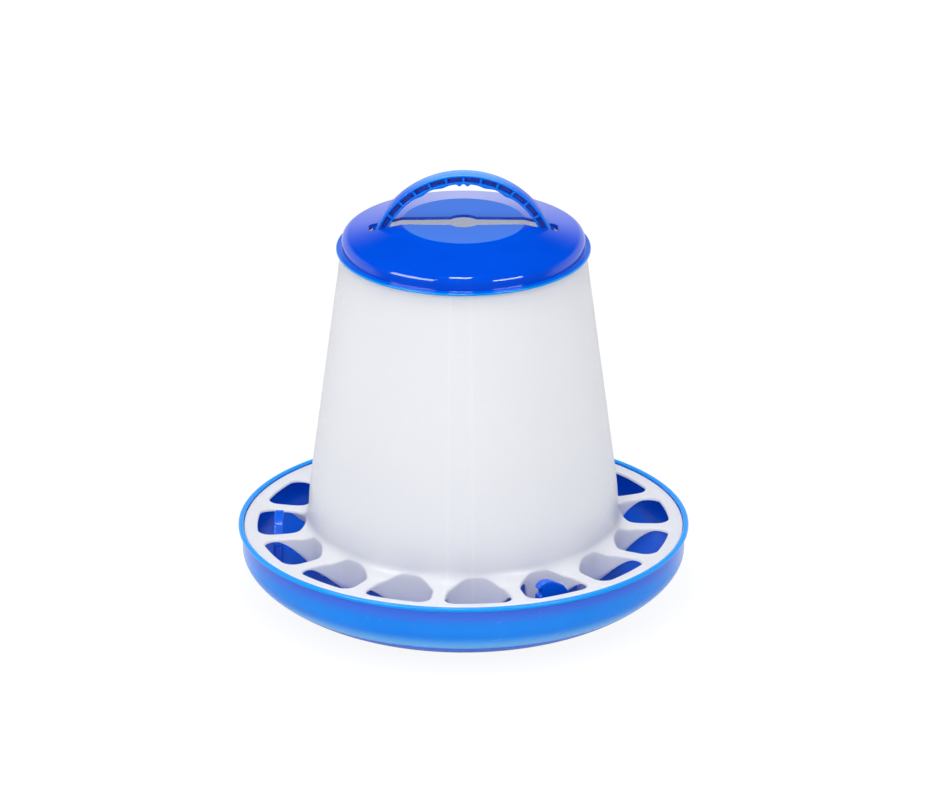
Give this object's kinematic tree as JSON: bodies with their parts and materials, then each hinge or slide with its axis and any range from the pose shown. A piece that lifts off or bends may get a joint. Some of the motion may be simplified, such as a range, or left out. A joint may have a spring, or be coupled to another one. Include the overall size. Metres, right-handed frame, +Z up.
{
  "type": "poultry feeder",
  "caption": "Gravity feeder for poultry: round tray, conical hopper with a ring of pecking ports in its flange, slotted lid that lifts over a ribbed carrying handle",
  "frame": {"origin": "centre of the tray's underside, on the ground that the feeder stands on", "axes": "+Z is up along the feeder's axis, X runs along the handle, and the side seen in front faces -Y"},
  "size_m": [0.3, 0.3, 0.2995],
  "materials": {
    "blue_tray": "glossy moulded polypropylene",
    "white_hopper": "glossy milky natural polypropylene",
    "blue_lid": "glossy moulded polypropylene",
    "blue_handle": "glossy moulded polypropylene"
  },
  "bodies": {
    "tray": {"tray": "blue_tray"},
    "hopper": {"hopper": "white_hopper", "handle": "blue_handle"},
    "lid": {"lid": "blue_lid"}
  },
  "joints": [
    {"name": "hopper_twist", "type": "hinge", "parent": "tray", "child": "hopper", "pos_m": [0, 0, 0.0465], "axis": [0, 0, 1], "range_deg": [0, 5]},
    {"name": "lid_lift", "type": "slide", "parent": "hopper", "child": "lid", "axis": [0, 0, 1], "range_m": [0, 0.07]}
  ]
}
